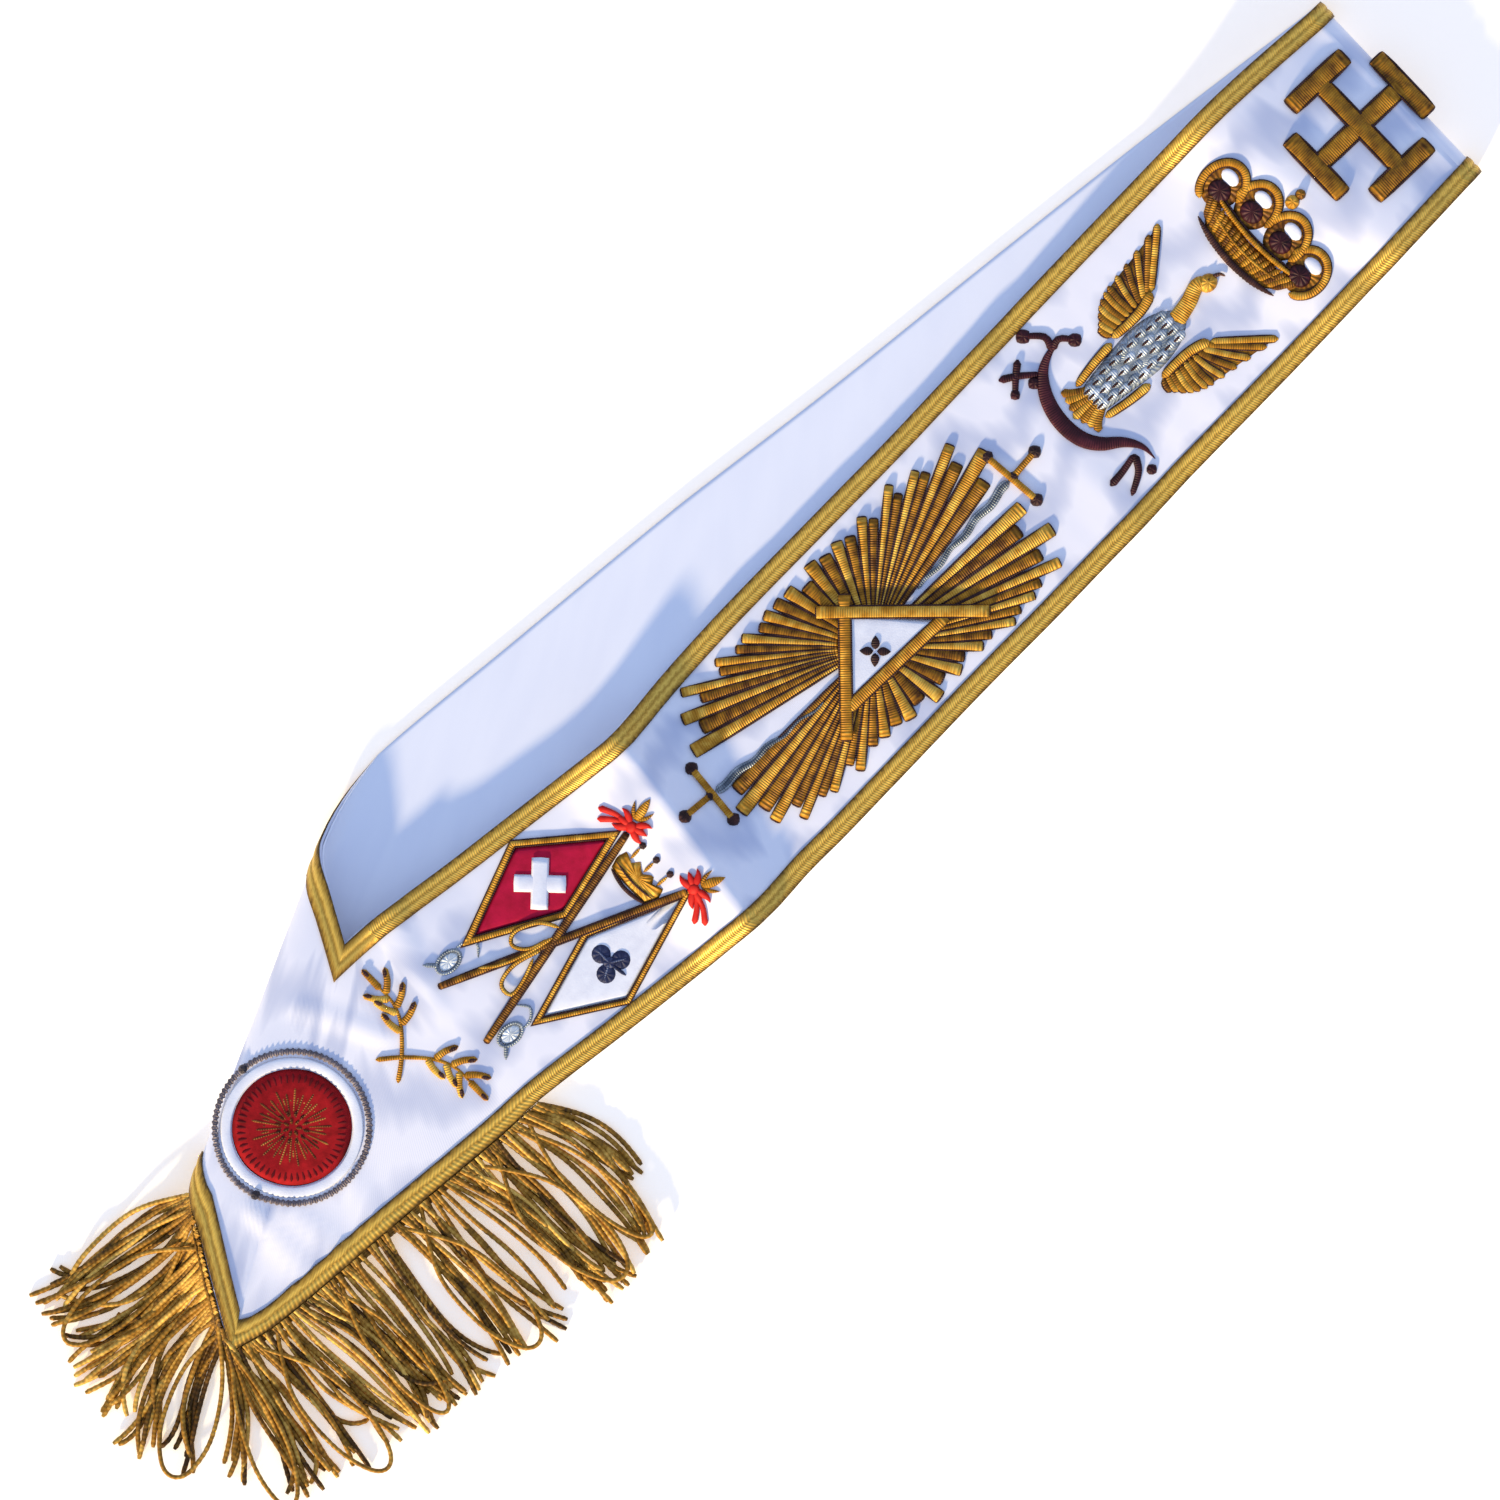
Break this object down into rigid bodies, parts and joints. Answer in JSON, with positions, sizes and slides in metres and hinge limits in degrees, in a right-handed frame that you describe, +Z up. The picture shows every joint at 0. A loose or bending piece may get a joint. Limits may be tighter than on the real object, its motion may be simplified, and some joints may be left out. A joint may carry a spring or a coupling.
{
  "type": "sash of an order",
  "caption": "White embroidered sash laid flat as a closed loop, folded at the shoulder, with gold braid edges, stitched emblems, a red badge at the hip and a gold fringe.",
  "frame": {"origin": "on the surface that the sash lies on, under the middle of its whole outline, fringe included", "axes": "+X along the sash from the hip point to the shoulder fold, +Y across it towards the run that shows its lining, +Z up"},
  "size_m": [0.8556, 0.255, 0.0233],
  "materials": {
    "ribbon": "white watered silk, soft sheen",
    "lining": "plain white satin, matt",
    "braid": "woven gold thread",
    "fringe": "twisted gold cords",
    "gold_thread": "padded gold embroidery, dark outlines",
    "silver_thread": "silver embroidery",
    "dark_thread": "dark brown and maroon embroidery",
    "red_cloth": "red satin applique",
    "badge_red": "dark red velvet with gold stitching",
    "white_cloth": "white satin applique",
    "navy_thread": "dark blue embroidery"
  },
  "bodies": {
    "root": {"ribbon_shoulder": "ribbon", "lining_shoulder": "lining", "braid_outer_shoulder": "braid", "braid_inner_shoulder": "braid", "ribbon_upper": "ribbon", "lining_upper": "lining", "braid_outer_upper": "braid", "braid_inner_upper": "braid", "ribbon_ridge": "ribbon", "lining_ridge": "lining", "braid_outer_ridge": "braid", "braid_inner_ridge": "braid", "ribbon_hip": "ribbon", "lining_hip": "lining", "braid_outer_hip": "braid", "braid_inner_hip": "braid", "ribbon_lower": "ribbon", "lining_lower": "lining", "braid_outer_lower": "braid", "braid_inner_lower": "braid", "fringe": "fringe", "rosette_disc": "badge_red", "rosette_collar": "white_cloth", "rosette_cord": "dark_thread", "sprigs": "gold_thread", "poles": "gold_thread", "bow_upper": "red_cloth", "finial_upper": "gold_thread", "bow_lower": "red_cloth", "finial_lower": "gold_thread", "banner_red_border": "gold_thread", "banner_red": "red_cloth", "banner_red_cross": "white_cloth", "banner_white_border": "gold_thread", "banner_white": "white_cloth", "banner_white_trefoil": "navy_thread", "tassel_upper": "silver_thread", "tassel_lower": "silver_thread", "banner_crown": "gold_thread", "sword_right_hilt": "dark_thread", "sword_right_blade": "silver_thread", "sword_left_hilt": "dark_thread", "sword_left_blade": "silver_thread", "glory": "gold_thread", "triangle_frame": "gold_thread", "triangle_field": "white_cloth", "triangle_flower": "dark_thread", "bird_body": "silver_thread", "bird_tail": "gold_thread", "bird_wing_upper": "gold_thread", "bird_wing_lower": "gold_thread", "scroll": "dark_thread", "crown_band": "gold_thread", "crown_gem_1": "dark_thread", "crown_gem_2": "dark_thread", "crown_gem_3": "dark_thread", "crown_gem_4": "dark_thread", "crown_arches": "gold_thread", "cross_potent": "gold_thread"}
  },
  "joints": []
}
